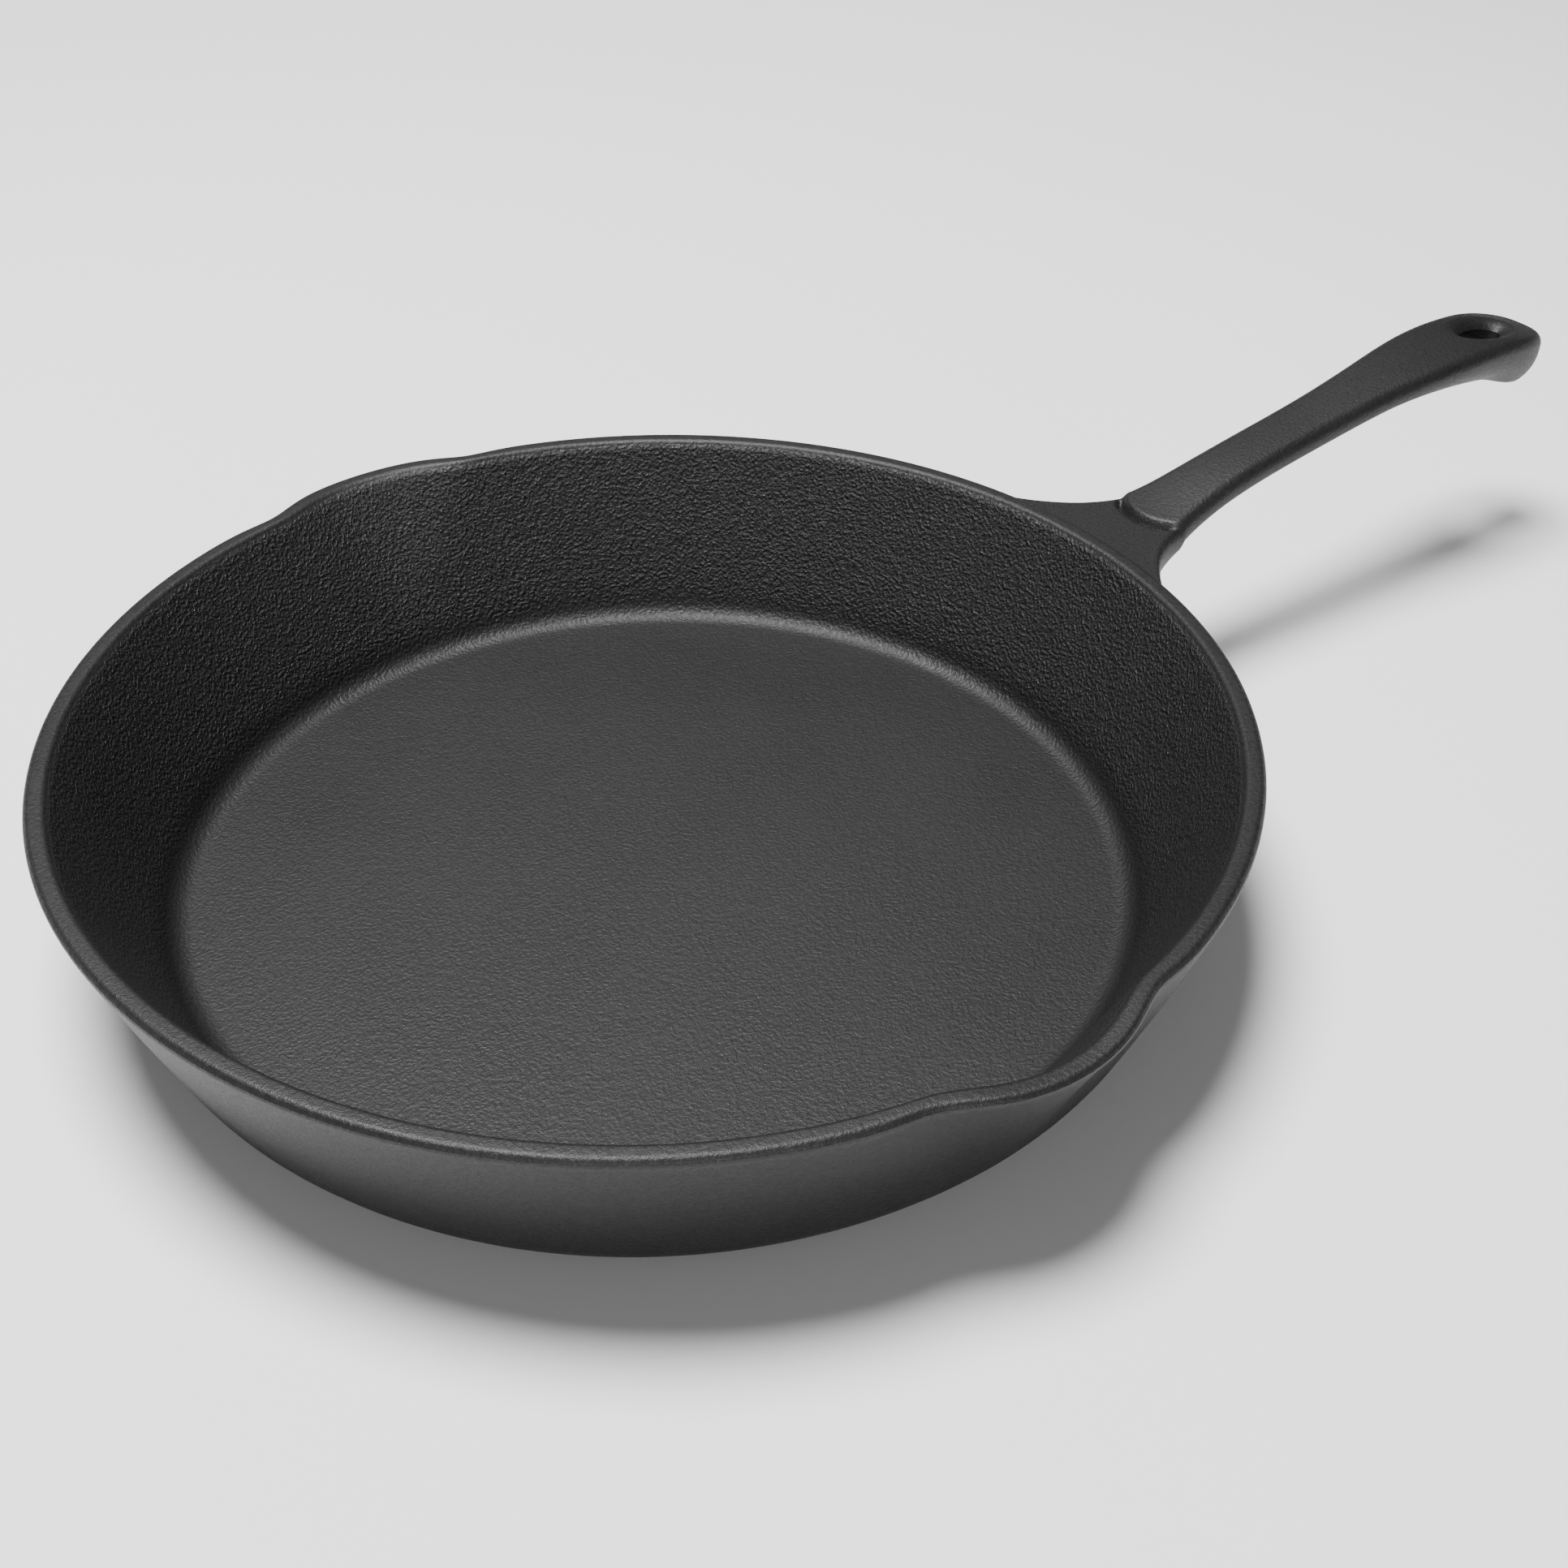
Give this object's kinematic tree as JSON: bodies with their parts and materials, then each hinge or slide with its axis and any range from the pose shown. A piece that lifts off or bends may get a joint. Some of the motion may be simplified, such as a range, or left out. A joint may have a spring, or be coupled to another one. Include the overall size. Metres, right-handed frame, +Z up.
{
  "type": "skillet",
  "caption": "Round one-piece cast iron skillet with flared walls, a pour spout at each side and a long handle with a hanging slot.",
  "frame": {"origin": "centre of the flat underside", "axes": "+Z up out of the bowl, +X along the handle towards its tip, the pour spouts on +Y and -Y"},
  "size_m": [0.4194, 0.27, 0.0625],
  "materials": {
    "seasoned_iron": "black seasoned sand casting, matte with a fine pebbled grain"
  },
  "bodies": {
    "root": {"pan_base": "seasoned_iron", "handle_side_wall": "seasoned_iron", "front_wall": "seasoned_iron", "left_pour_spout": "seasoned_iron", "right_pour_spout": "seasoned_iron", "handle_root": "seasoned_iron", "handle_grip": "seasoned_iron", "hanging_eye": "seasoned_iron"}
  },
  "joints": []
}
